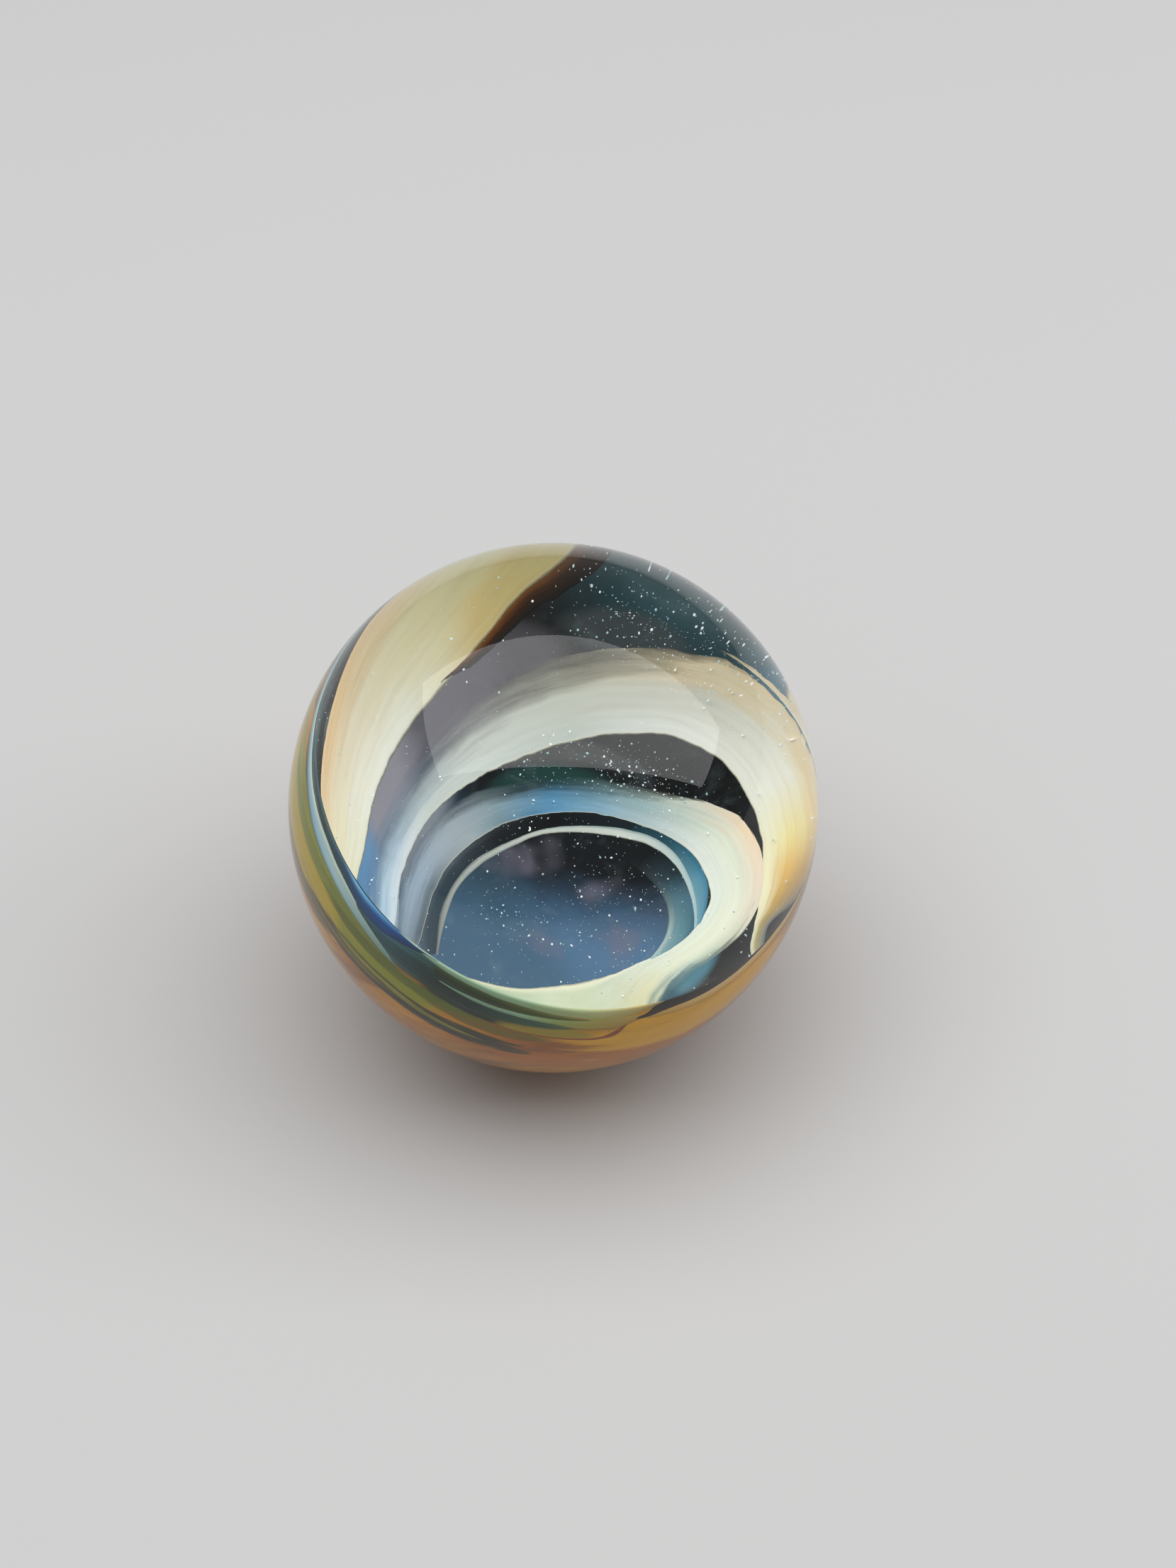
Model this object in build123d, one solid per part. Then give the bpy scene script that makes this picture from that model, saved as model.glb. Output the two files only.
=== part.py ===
"""Vortex marble in clear glass: one fused and polished ball, with no separate pieces.

The vortex inside it, a bowl of smoked glass with spiral ribbons, is laid on the back of
a clear gather in the flame. All the colours melt into one body, so the ball is one solid.

Frame, in millimetres: origin at the centre of the ball, +Z up as the marble is shown on
a ring stand. A marble rolls, so a stand holds it at the lowest point of the ball.
"""
from build123d import *
import os

# Driving dimension
ball_diameter = 35.0     # across the polished ball, a usual size for a handmade vortex marble


def make_marble(diameter):
    """The whole marble: a true ball about the origin, with its poles on the Z axis."""
    return Sphere(radius=diameter / 2)


# Every sub-part of the marble, by node name
sub_parts = {
    "glass_marble": make_marble(ball_diameter),
}

os.makedirs("parts", exist_ok=True)
for node_name, solid in sub_parts.items():
    export_step(solid, f"parts/{node_name}.step")
    print(f"{node_name}: {solid.volume:.1f} mm3, {solid.bounding_box().size.Z:.2f} mm across")
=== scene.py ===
# %% [markdown]
# # A vortex marble in clear glass
# A vortex marble starts as a gather of clear glass on a rod. The maker lays smoked glass and
# pale fumed ribbons on its back, heats them, and twists them into a bowl with a spiral in it.
# Amber glass then covers the back, and the ball is rounded and polished in the flame. From the
# front, the clear glass is a lens, and the bowl seems to fill the whole ball.
#
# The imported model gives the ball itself, one solid with its origin at its centre.

# %% Load the ball that everything is built inside
import math

import bmesh
import bpy
from mathutils import Matrix, Vector


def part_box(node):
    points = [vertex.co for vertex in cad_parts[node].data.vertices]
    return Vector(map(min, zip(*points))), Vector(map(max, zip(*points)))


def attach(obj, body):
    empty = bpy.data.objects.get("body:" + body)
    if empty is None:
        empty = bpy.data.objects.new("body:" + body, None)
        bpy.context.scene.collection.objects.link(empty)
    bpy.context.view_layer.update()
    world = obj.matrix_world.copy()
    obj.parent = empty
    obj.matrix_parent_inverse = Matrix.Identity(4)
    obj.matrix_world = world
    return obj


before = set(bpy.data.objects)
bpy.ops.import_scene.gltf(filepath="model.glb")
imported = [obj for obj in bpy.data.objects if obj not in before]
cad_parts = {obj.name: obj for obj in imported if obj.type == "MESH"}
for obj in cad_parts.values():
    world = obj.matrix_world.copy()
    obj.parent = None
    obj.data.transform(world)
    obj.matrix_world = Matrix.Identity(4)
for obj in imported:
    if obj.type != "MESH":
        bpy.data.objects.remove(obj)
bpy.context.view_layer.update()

low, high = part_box("glass_marble")
ball_radius = (high[2] - low[2]) / 2
print(f"clear ball: {2000 * ball_radius:.1f} mm across")

# %% [markdown]
# ## Small helpers for node trees
# Node trees can be drawn by hand, but in a script each sum would take five lines. A small class
# wraps an output socket, so that a sum of two wires adds its own Math node. Everything else
# goes through one method, `node`, which sets a node's settings first and its sockets after.
# Shader trees and geometry trees both understand Math nodes, so one class serves both.


# %% A wire that can be used in sums
class Wire:
    """One output socket. Its operators add Math nodes to the tree that it belongs to."""

    def __init__(self, tree, socket):
        self.tree = tree
        self.socket = socket

    def __add__(self, other):
        return self.tree.math("ADD", self, other)

    __radd__ = __add__

    def __sub__(self, other):
        return self.tree.math("SUBTRACT", self, other)

    def __rsub__(self, other):
        return self.tree.math("SUBTRACT", other, self)

    def __mul__(self, other):
        return self.tree.math("MULTIPLY", self, other)

    __rmul__ = __mul__

    def __truediv__(self, other):
        return self.tree.math("DIVIDE", self, other)

    def __rtruediv__(self, other):
        return self.tree.math("DIVIDE", other, self)

    def __pow__(self, other):
        return self.tree.math("POWER", self, other)

    def __gt__(self, other):
        return self.tree.math("GREATER_THAN", self, other)

    def at_most(self, other):
        return self.tree.math("MINIMUM", self, other)

    def at_least(self, other):
        return self.tree.math("MAXIMUM", self, other)

    def cos(self):
        return self.tree.math("COSINE", self)

    def sin(self):
        return self.tree.math("SINE", self)

    def fade(self, start, end):
        """0 before start and 1 after end, and smooth between them. end may be the smaller."""
        return self.tree.node("ShaderNodeMapRange", {"interpolation_type": "SMOOTHSTEP"},
                              {"Value": self, "From Min": start, "From Max": end})

    def other(self, name):
        """Another output of the same node."""
        return Wire(self.tree, self.socket.node.outputs[name])


class Tree:
    """A node tree that is being written."""

    def __init__(self, nodes):
        self.nodes = nodes

    def node(self, kind, settings=None, sockets=None, output=0):
        """Adds a node: first its settings, then the values of its sockets or the wires to them."""
        node = self.nodes.nodes.new(kind)
        for name, value in (settings or {}).items():
            if name == "stops":
                place_stops(node.color_ramp, value)
            elif name == "points":
                place_points(node.mapping, value)
            else:
                setattr(node, name, value)
        for name, value in (sockets or {}).items():
            if isinstance(value, Wire):
                self.nodes.links.new(value.socket, node.inputs[name])
            else:
                node.inputs[name].default_value = value
        return Wire(self, node.outputs[output]) if node.outputs else None

    def math(self, operation, *values):
        return self.node("ShaderNodeMath", {"operation": operation}, dict(enumerate(values)))

    def blend(self, share, first, second):
        """The colour first where share is 0, and second where it is 1."""
        colours = {0: share, 6: first, 7: second}
        return self.node("ShaderNodeMix", {"data_type": "RGBA"}, colours, output=2)

    def mix(self, share, first, second):
        """The number first where share is 0, and second where it is 1."""
        return self.node("ShaderNodeMix", {}, {0: share, 2: first, 3: second})

    def vector(self, x, y, z=0.0):
        return self.node("ShaderNodeCombineXYZ", {}, {"X": x, "Y": y, "Z": z})


def place_stops(ramp, stops):
    """Gives a colour ramp its stops: a list of (place, colour)."""
    while len(ramp.elements) > 1:
        ramp.elements.remove(ramp.elements[0])
    ramp.elements[0].position = stops[0][0]
    ramp.elements[0].color = rgba(stops[0][1])
    for place, colour in stops[1:]:
        ramp.elements.new(place).color = rgba(colour)


def place_points(mapping, points):
    """Gives a float curve its points: a list of (place, value), with smooth handles."""
    mapping.extend = "HORIZONTAL"
    curve = mapping.curves[0]
    for _ in points[2:]:
        curve.points.new(0.5, 0.5)
    for point, (place, value) in zip(curve.points, points):
        point.location = (place, value)
        point.handle_type = "AUTO_CLAMPED"
    mapping.update()


def rgba(code):
    """A colour written as a web code, in the linear numbers that a shader takes."""
    parts = [int(code[i:i + 2], 16) / 255 for i in (1, 3, 5)]
    linear = [p / 12.92 if p <= 0.04045 else ((p + 0.055) / 1.055) ** 2.4 for p in parts]
    return (*linear, 1.0)


print("helpers ready")

# %% [markdown]
# ## The shape of the coloured glass
# All the coloured glass is one fused body: a bowl inside, and the back of the ball outside,
# meeting at a rim. One coordinate runs over both, and here it is called the reach: 0 is the
# middle of the bowl, 1 is the rim, and 2 is the point at the back of the ball. With the turn
# round the axis, it names every spot on the coloured glass, so the body, the ribbons and the
# dust can all be placed by one node group and can't come apart.
#
# The bowl has a broad floor and steep walls, and its floor lies a little off the axis.

# %% Sizes of the vortex, as shares of the ball's radius
colour_radius = 0.985      # the coloured back, under a thin clear skin
rim_height = 0.311         # the rim's plane, above the ball's centre along the axis
floor_depth = -0.42        # the bowl's floor, along the same axis
wall_power = 3.0           # 1 is a cone, 2 a dish, and more is a flatter floor
floor_shift = (0.14, -0.03)  # how far the floor lies to one side
rim_lip = 0.02             # how much of the reach is rounded off, to each side of the rim
vortex_axis = Vector((0.237, -0.282, 0.930)).normalized()

bowl_depth = rim_height - floor_depth
rim_radius = math.sqrt(colour_radius ** 2 - rim_height ** 2)
rim_latitude = math.asin(rim_height / colour_radius)

across = Vector((1, 0, 0)) - vortex_axis * vortex_axis.x
across.normalize()
lean = Matrix((across, vortex_axis.cross(across), vortex_axis)).transposed().to_4x4()
print(f"the vortex leans {math.degrees(vortex_axis.angle(Vector((0, 0, 1)))):.0f} degrees")

# %% [markdown]
# ## The group that places everything
# Each layer could have its own formula, but then the layers would part or cut each other where
# the formulas differ. One node group does it for all: it takes a turn, a reach and a lift off
# the surface, and gives a place. A bowl formula serves below a reach of 1 and a globe formula
# above it. They meet in a sharp corner, which real glass never has, so a second group rounds
# it off with a smooth curve drawn through three places on the sharp one.


# %% The group with a sharp rim
def new_tree(name, inputs, outputs):
    """An empty geometry node group with the named sockets."""
    group = bpy.data.node_groups.new(name, "GeometryNodeTree")
    for label, kind in inputs:
        group.interface.new_socket(label, in_out="INPUT", socket_type="NodeSocket" + kind)
    for label, kind in outputs:
        group.interface.new_socket(label, in_out="OUTPUT", socket_type="NodeSocket" + kind)
    return Tree(group)


place_inputs = [("Turn", "Float"), ("Reach", "Float"), ("Lift", "Float")]


def make_sharp_group():
    """Turn in radians, reach from 0 to 2 and lift in ball radii give a place, in ball radii."""
    tree = new_tree("place_with_sharp_rim", place_inputs, [("Place", "Vector")])
    turn = tree.node("NodeGroupInput")
    reach = turn.other("Reach")
    lift = turn.other("Lift")
    outside = reach > 1.0
    inner = reach.at_most(1.0).at_least(0.0)

    bowl_height = inner ** wall_power * bowl_depth + floor_depth
    latitude = rim_latitude - (reach.at_least(1.0) - 1.0) * (rim_latitude + math.pi / 2)
    radius = tree.mix(outside, inner * rim_radius, latitude.cos() * colour_radius)
    height = tree.mix(outside, bowl_height, latitude.sin() * colour_radius)

    slope = inner ** (wall_power - 1.0) * (wall_power * bowl_depth / rim_radius)
    length = (slope * slope + 1.0) ** 0.5
    radius = radius + tree.mix(outside, slope / length * -1.0, latitude.cos()) * lift
    height = height + tree.mix(outside, 1.0 / length, latitude.sin()) * lift

    shift = (1.0 - inner * inner) * (1.0 - outside)
    x = radius * turn.cos() + shift * floor_shift[0]
    y = radius * turn.sin() + shift * floor_shift[1]
    tree.node("NodeGroupOutput", {}, {"Place": tree.vector(x, y, height)})
    return tree.nodes


sharp_group = make_sharp_group()
print("sharp group:", len(sharp_group.nodes), "nodes")


# %% The group with a rounded rim
def make_place_group():
    """The same, with the rim rounded off over rim_lip to each side of it."""
    tree = new_tree("place_on_colour", place_inputs, [("Place", "Vector")])
    turn = tree.node("NodeGroupInput")
    reach = turn.other("Reach")
    lift = turn.other("Lift")
    hair = 0.0001  # how close to the sharp corner it is read

    def sharp(at):
        return tree.node("GeometryNodeGroup", {"node_tree": sharp_group},
                         {"Turn": turn, "Reach": at, "Lift": lift})

    def between(share, first, second):
        return tree.node("ShaderNodeMix", {"data_type": "VECTOR"},
                         {0: share, 4: first, 5: second}, output=1)

    share = ((reach - (1.0 - rim_lip)) / (2 * rim_lip)).at_least(0.0).at_most(1.0)
    corner = between(0.5, sharp(1.0 - hair), sharp(1.0 + hair))
    start = between(share, sharp(1.0 - rim_lip), corner)
    end = between(share, corner, sharp(1.0 + rim_lip))
    near_rim = (reach > 1.0 - rim_lip) * (1.0 - (reach > 1.0 + rim_lip))
    place = between(near_rim, sharp(reach), between(share, start, end))
    tree.node("NodeGroupOutput", {}, {"Place": place})
    return tree.nodes


place_group = make_place_group()
print("place group:", len(place_group.nodes), "nodes")

# %% [markdown]
# ## From a tree to a plain mesh
# A geometry tree can stay live on its object, but a plain mesh is safer to hand on. Each tree
# works in ball radii with the vortex upright, which keeps its formulas short. So the mesh that
# comes out is leaned over and brought to real size here, once for every piece.


# %% Piece maker
def keep_attribute(tree, geometry, name, value):
    """Stores a vector on the mesh's points under a name, for the material to read."""
    return tree.node("GeometryNodeStoreNamedAttribute",
                     {"data_type": "FLOAT_VECTOR", "domain": "POINT"},
                     {"Geometry": geometry, "Name": name, "Value": value})


def settle(name, tree, values):
    """Runs the tree on an empty object and leaves a plain mesh piece, leaned and at real size."""
    piece = bpy.data.objects.new(name, bpy.data.meshes.new(name))
    bpy.context.scene.collection.objects.link(piece)
    modifier = piece.modifiers.new(name, "NODES")
    modifier.node_group = tree.nodes
    for socket in tree.nodes.interface.items_tree:
        if socket.in_out == "INPUT" and socket.name in values:
            modifier[socket.identifier] = values[socket.name]
    ready = piece.evaluated_get(bpy.context.evaluated_depsgraph_get())
    mesh = bpy.data.meshes.new_from_object(ready)
    piece.modifiers.clear()
    mesh.transform(lean @ Matrix.Scale(ball_radius, 4))
    mesh.name = name
    piece.data = mesh
    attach(piece, "root")
    print(f"{name}: {len(mesh.polygons)} faces")


print("piece maker ready")

# %% [markdown]
# ## The fused coloured body
# The body is one closed shape: the bowl, the rim and the back. A profile could be spun round
# an axis, but this floor is off the axis, so a flat grid is bent into place instead: one side of
# the grid is the turn, the other is the reach, with rows drawn close together at the rim. The
# bowl takes smoked glass, and the back takes amber.


# %% Body tree
def make_body_tree():
    tree = new_tree("fused_colour", [("Rows", "Int"), ("Columns", "Int"), ("Smoke", "Material"),
                                     ("Amber", "Material")], [("Geometry", "Geometry")])
    rows = tree.node("NodeGroupInput")
    grid = tree.node("GeometryNodeMeshGrid", {}, {"Size X": 1.0, "Size Y": 1.0, "Vertices X": rows,
                                                  "Vertices Y": rows.other("Columns")})
    spread = tree.node("ShaderNodeSeparateXYZ", {}, {0: tree.node("GeometryNodeInputPosition")})
    along = spread * 2.0
    crowding = 1.5  # 1 spaces the rows evenly, and more draws them to the rim
    reach = tree.math("SIGN", along) * tree.math("ABSOLUTE", along) ** crowding + 1.0
    turn = (spread.other("Y") + 0.5) * math.tau
    place = tree.node("GeometryNodeGroup", {"node_tree": place_group},
                      {"Turn": turn, "Reach": reach, "Lift": 0.0})
    mesh = keep_attribute(tree, grid, "flat",
                          tree.vector(reach * turn.cos(), reach * turn.sin(), reach))
    mesh = keep_attribute(tree, mesh, "spot", place)
    mesh = tree.node("GeometryNodeSetPosition", {}, {"Geometry": mesh, "Position": place})
    mesh = tree.node("GeometryNodeMergeByDistance", {}, {"Geometry": mesh, "Distance": 1e-5})
    mesh = tree.node("GeometryNodeSetShadeSmooth", {}, {"Geometry": mesh})
    mesh = tree.node("GeometryNodeRealizeInstances", {}, {"Geometry": mesh})
    flat = tree.node("GeometryNodeInputNamedAttribute", {"data_type": "FLOAT_VECTOR"},
                     {"Name": "flat"})
    back = tree.node("ShaderNodeSeparateXYZ", {}, {0: flat}).other("Z") > 1.0
    mesh = tree.node("GeometryNodeSetMaterial", {},
                     {"Geometry": mesh, "Material": rows.other("Smoke")})
    mesh = tree.node("GeometryNodeSetMaterial", {}, {"Geometry": mesh, "Selection": back,
                                                     "Material": rows.other("Amber")})
    tree.node("NodeGroupOutput", {}, {"Geometry": mesh})
    return tree


body_tree = make_body_tree()
print("body tree:", len(body_tree.nodes.nodes), "nodes")

# %% [markdown]
# ## Finishes of the coloured glass
# Silver and gold, boiled off in the flame, settle on hot glass as a thin fume. Over dark glass
# the fume looks blue or teal, over white glass it looks yellow or peach, and thick fume
# looks cream. A finish could be painted by hand, but noise and formulas stay sharp at any
# distance. Each finish reads the places that its mesh carries, so that its pattern lies on the
# glass as the shapes do.


# %% Shader helpers
def new_finish(name):
    """An empty material, and its nodes as a tree."""
    material = bpy.data.materials.new(name)
    material.use_nodes = True
    material.node_tree.nodes.clear()
    return material, Tree(material.node_tree)


def attribute(tree, name):
    return tree.node("ShaderNodeAttribute", {"attribute_name": name}, output="Vector")


def parts_of(tree, vector):
    """The three numbers of a vector."""
    split = tree.node("ShaderNodeSeparateXYZ", {}, {0: vector})
    return split, split.other("Y"), split.other("Z")


def noise(tree, vector, scale, detail=3.0, roughness=0.5, warp=0.0):
    return tree.node("ShaderNodeTexNoise", {},
                     {"Vector": vector, "Scale": scale, "Detail": detail, "Roughness": roughness,
                      "Distortion": warp})


def close(tree, shader):
    """Ends a material with its surface shader."""
    tree.node("ShaderNodeOutputMaterial", {}, {"Surface": shader})


print("shader helpers ready")

# %% [markdown]
# Fume and frit lie in patches, and the twist draws every patch out along the turn. So a patch of
# colour is a soft oval zone with its middle at one turn and reach. The ovals could be mesh
# pieces, but only a finish can fade out so softly. A little noise in a zone's edge breaks it up.


# %% Soft zones of colour, placed by turn and reach
def zone(tree, place, turn, reach, spread, width, ragged=0.0, solid=0.0):
    """1 in the solid middle of a patch and 0 outside it. turn and spread are in degrees."""
    x, y, far = place
    facing = (x * math.cos(math.radians(turn)) + y * math.sin(math.radians(turn))) / far
    side = (1.0 - facing) * (1.0 / (1.0 - math.cos(math.radians(spread))))
    out = (far - reach) * (1.0 / width)
    return (side + out * out + ragged).fade(1.0, solid)


def paint(tree, place, colour, zones, ragged, solid):
    """Lays a list of (turn, reach, spread, width, colour, strength) zones over a colour."""
    for turn, reach, spread, width, code, strength in zones:
        share = zone(tree, place, turn, reach, spread, width, ragged, solid) * strength
        colour = tree.blend(share, colour, rgba(code))
    return colour


def streaks(tree, place, around, outward, detail=4.0, warp=0.3):
    """Noise drawn out along the turn, as glass is when it is twisted."""
    x, y, far = place
    drawn = tree.vector(x / far * around, y / far * around, far * outward)
    return noise(tree, drawn, 1.0, detail, 0.55, warp)


print("zones ready")

# %% [markdown]
# Smoked glass is nearly black, with a blue and teal haze where the silver fume lies. The disc in
# the middle of the bowl is steel blue at the bottom and black at the top, with a plum tint. The
# fume thins out in streaks on the wall. A clear shader would let the amber behind show
# through, and the real glass is too dark for that, so this one is opaque.

# %% Patches on the smoked glass
smoke_and_sheen_zones = [
    # turn, reach, spread, width, colour, strength
    (58, 0.82, 54, 0.30, "#21474f", 1.0),
    (34, 0.78, 28, 0.28, "#4a8299", 1.0),
    (66, 0.74, 18, 0.12, "#3d5f66", 0.6),
    (92, 0.86, 26, 0.16, "#10191a", 0.9),
    (108, 0.72, 16, 0.20, "#241408", 0.95),
    # painted sheen: these two grey patches lighten the dark glass under the panel's reflection,
    # standing in for part of it
    (104, 0.585, 16, 0.060, "#55545a", 0.95),
    (78, 0.625, 18, 0.040, "#4a5052", 0.8),
    # lilac grey: partly the glass's own pale haze, partly a painted reflection of the panel
    (128, 0.56, 26, 0.13, "#65646e", 1.0),
    (160, 0.53, 28, 0.12, "#96959f", 1.0),
    (170, 0.90, 60, 0.14, "#5b7f7c", 0.9),
    (188, 0.55, 26, 0.10, "#5f92bd", 0.9),
    (208, 0.72, 22, 0.24, "#4a86b4", 1.0),
    (168, 0.39, 40, 0.055, "#838b95", 1.0),
    (96, 0.395, 40, 0.035, "#3f4243", 0.9),
    (100, 0.345, 34, 0.03, "#20423f", 0.9),
    (-45, 0.47, 34, 0.15, "#17120e", 1.0),
    (-45, 0.75, 34, 0.30, "#14100d", 1.0),
    (-24, 0.335, 26, 0.050, "#4b7c8c", 1.0),
    (-50, 0.335, 18, 0.030, "#2f5560", 0.9),
]
print(len(smoke_and_sheen_zones), "patches on the smoked glass")


# %% Smoked glass
def make_disc(tree, place, spot, cloud):
    """The colour of the round floor: black at the top, blue at the bottom, plum between."""
    low_side = place[1] + (cloud - 0.5) * 0.12
    disc = tree.blend(low_side.fade(0.12, -0.12), rgba("#14181b"), rgba("#4d7090"))
    left_side = (place[0] + low_side * 0.6).fade(-0.02, -0.2)
    disc = tree.blend(left_side * 0.6, disc, rgba("#3a5668"))
    plum = (noise(tree, spot, 5.0, 2.0) + place[2] * -1.0).fade(0.38, 0.55)
    return tree.blend(plum * 0.75, disc, rgba("#6f6c7c"))


def make_smoke():
    material, tree = new_finish("smoked_glass")
    place = parts_of(tree, attribute(tree, "flat"))
    spot = attribute(tree, "spot")
    cloud = noise(tree, spot, 3.2, 5.0, 0.6, 0.8)
    base = tree.blend(cloud.fade(0.35, 0.7), rgba("#0b0f10"), rgba("#1c2121"))
    disc = make_disc(tree, place, spot, cloud)
    disc_side = place[2] + place[0] * 0.35
    colour = tree.blend(disc_side.fade(0.42, 0.33), base, disc)
    colour = paint(tree, place, colour, smoke_and_sheen_zones, (cloud - 0.5) * 0.8, 0.15)

    flow = streaks(tree, place, 1.6, 12.0, 5.0, 0.8)
    wall = place[2].fade(0.60, 0.78)
    colour = tree.blend(flow.fade(0.50, 0.66) * wall * 0.55, colour, rgba("#0b1214"))
    colour = tree.blend(flow.fade(0.46, 0.30) * wall * 0.30, colour, rgba("#8fb0b4"))
    haze = noise(tree, spot, 9.0, 6.0, 0.65, 1.2).fade(0.5, 0.8)
    colour = tree.blend(haze * 0.16, colour, rgba("#8fa3aa"))
    close(tree, tree.node("ShaderNodeBsdfPrincipled", {}, {
        "Base Color": colour, "Roughness": 0.6, "Specular IOR Level": 0.0}))
    return material


smoke = make_smoke()
print("smoked glass:", len(smoke.node_tree.nodes), "nodes")

# %% [markdown]
# The back is amber glass, with olive and green on the left side and dark blue by the rim. It
# was wound on as the ball turned, so some of its streaks run round it, and the twist pulled the
# rest into a spiral. Both come from one noise: the spiral reads it through a rotation that
# grows with the reach.

# %% Patches on the amber backing
amber_zones = [
    # turn, reach, spread, width, colour, strength
    (-150, 1.020, 64, 0.052, "#26443f", 1.0),
    (-205, 1.140, 30, 0.090, "#8a8008", 1.0),
    (-162, 1.135, 44, 0.078, "#b39a00", 1.0),
    (-165, 1.075, 44, 0.025, "#7f8c20", 0.8),
    (-128, 1.14, 18, 0.05, "#858a0c", 1.0),
    (-190, 1.010, 50, 0.026, "#34545a", 1.0),
    (-228, 1.040, 34, 0.045, "#33545a", 1.0),
    (-112, 1.084, 14, 0.030, "#1a2a20", 1.0),
    (-108, 1.122, 18, 0.022, "#6a5c0c", 0.9),
    (-126, 1.186, 32, 0.036, "#1f1e04", 1.0),
    (-168, 1.225, 28, 0.040, "#5a4404", 0.9),
    (-140, 1.192, 20, 0.016, "#3f420c", 0.8),
    (-60, 1.09, 34, 0.10, "#d19a06", 0.9),
    (-80, 1.22, 26, 0.06, "#a86000", 0.9),
    (-110, 1.172, 12, 0.026, "#241f04", 1.0),
    (-102, 1.188, 8, 0.018, "#2f2c0a", 0.9),
    (-117, 1.181, 13, 0.009, "#7d7a12", 0.8),
    (-131, 1.172, 15, 0.009, "#8f8a10", 0.85),
    (-141, 1.190, 15, 0.010, "#6f5c08", 0.8),
    (-106, 1.163, 11, 0.010, "#2a2c08", 0.9),
    (-154, 1.096, 40, 0.020, "#737c26", 0.95),
    (-130, 1.112, 24, 0.020, "#5a6418", 0.95),
    (-93, 1.088, 13, 0.022, "#94801c", 1.0),
    (-20, 1.03, 20, 0.05, "#8a6a3c", 0.8),
    (60, 1.10, 60, 0.12, "#8a6a12", 0.8),
]
print(len(amber_zones), "patches on the amber backing")


# %% Amber backing
def make_amber():
    material, tree = new_finish("amber_backing")
    flat = attribute(tree, "flat")
    place = parts_of(tree, flat)
    spiral = 2.6  # radians of twist from the rim to the back point
    twisted = parts_of(tree, tree.node("ShaderNodeVectorRotate", {"rotation_type": "Z_AXIS"},
                                       {"Vector": flat, "Angle": place[2] * spiral}))
    drawn = streaks(tree, place, 2.2, 9.0)
    fine = streaks(tree, place, 3.0, 42.0, 5.0, 0.5)
    lace = streaks(tree, twisted, 4.5, 3.0, 5.0, 0.6)
    base = tree.blend(drawn.fade(0.35, 0.65), rgba("#a05c00"), rgba("#c28300"))
    base = tree.blend(lace.fade(0.50, 0.68) * 0.75, base, rgba("#6e3a08"))
    base = tree.blend(lace.fade(0.44, 0.34) * 0.60, base, rgba("#e0ab28"))
    ragged = (drawn - 0.5) * 1.2 + (fine - 0.5) * 1.4
    colour = paint(tree, place, base, amber_zones, ragged, 0.45)
    colour = tree.blend(fine.fade(0.55, 0.8) * 0.35, colour, rgba("#5a3606"))
    colour = tree.blend(fine.fade(0.45, 0.2) * 0.3, colour, rgba("#e0b040"))
    close(tree, tree.node("ShaderNodeBsdfPrincipled", {}, {
        "Base Color": colour, "Roughness": 0.5, "Specular IOR Level": 0.0}))
    return material


amber = make_amber()
settle("fused_colour", body_tree,
       {"Rows": 241, "Columns": 257, "Smoke": smoke, "Amber": amber})

# %% [markdown]
# ## The ribbons
# The ribbons are pale glass, laid on as a stringer and pulled out by the twist, so each is a thin
# strip with a rounded section and tapered ends. They could be modelled one by one, but they
# differ only in where their two edges run, so one tree makes them all. Two smooth curves give
# the reach of the edges along the turn, and a little seeded noise frays them.


# %% Ribbon tree
def edge_curve(tree, along, stations, farthest=2.0):
    """The reach of one edge, from a list of (turn, reach)."""
    start, end = stations[0][0], stations[-1][0]
    points = [((turn - start) / (end - start), reach / farthest) for turn, reach in stations]
    return tree.node("ShaderNodeFloatCurve", {"points": points}, {"Value": along}) * farthest


def ribbon_side(tree, inputs, inner_edge, outer_edge, rows, side):
    """One skin of a ribbon, lifted to one side of the surface that it follows."""
    start, end = inner_edge[0][0], inner_edge[-1][0]
    grid = tree.node("GeometryNodeMeshGrid", {}, {"Size X": 1.0, "Size Y": 1.0,
                                                  "Vertices X": 301, "Vertices Y": rows})
    corner = tree.node("ShaderNodeSeparateXYZ", {}, {0: tree.node("GeometryNodeInputPosition")})
    along = corner + 0.5
    over = corner.other("Y") + 0.5
    degrees = along * (end - start) + start
    frays = []
    for shift in (0.0, 40.0):
        where = tree.vector(degrees * 0.12, inputs.other("Seed") + shift)
        frays.append((noise(tree, where, 1.0, 4.0, 0.6) - 0.5) * inputs.other("Fray"))
    inner = edge_curve(tree, along, inner_edge) + frays[0]
    outer = edge_curve(tree, along, outer_edge) + frays[1]
    reach = tree.mix(over, inner, outer)
    swell = (over * (1.0 - over) * 4.0) ** 0.5
    taper = (along * (1.0 - along) * 40.0).at_most(1.0)
    place = tree.node("GeometryNodeGroup", {"node_tree": place_group},
                      {"Turn": degrees * (math.pi / 180), "Reach": reach,
                       "Lift": swell * taper * inputs.other("Thickness") * side})
    mesh = keep_attribute(tree, grid, "strip", tree.vector(along, over))
    return tree.node("GeometryNodeSetPosition", {}, {"Geometry": mesh, "Position": place})


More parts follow.
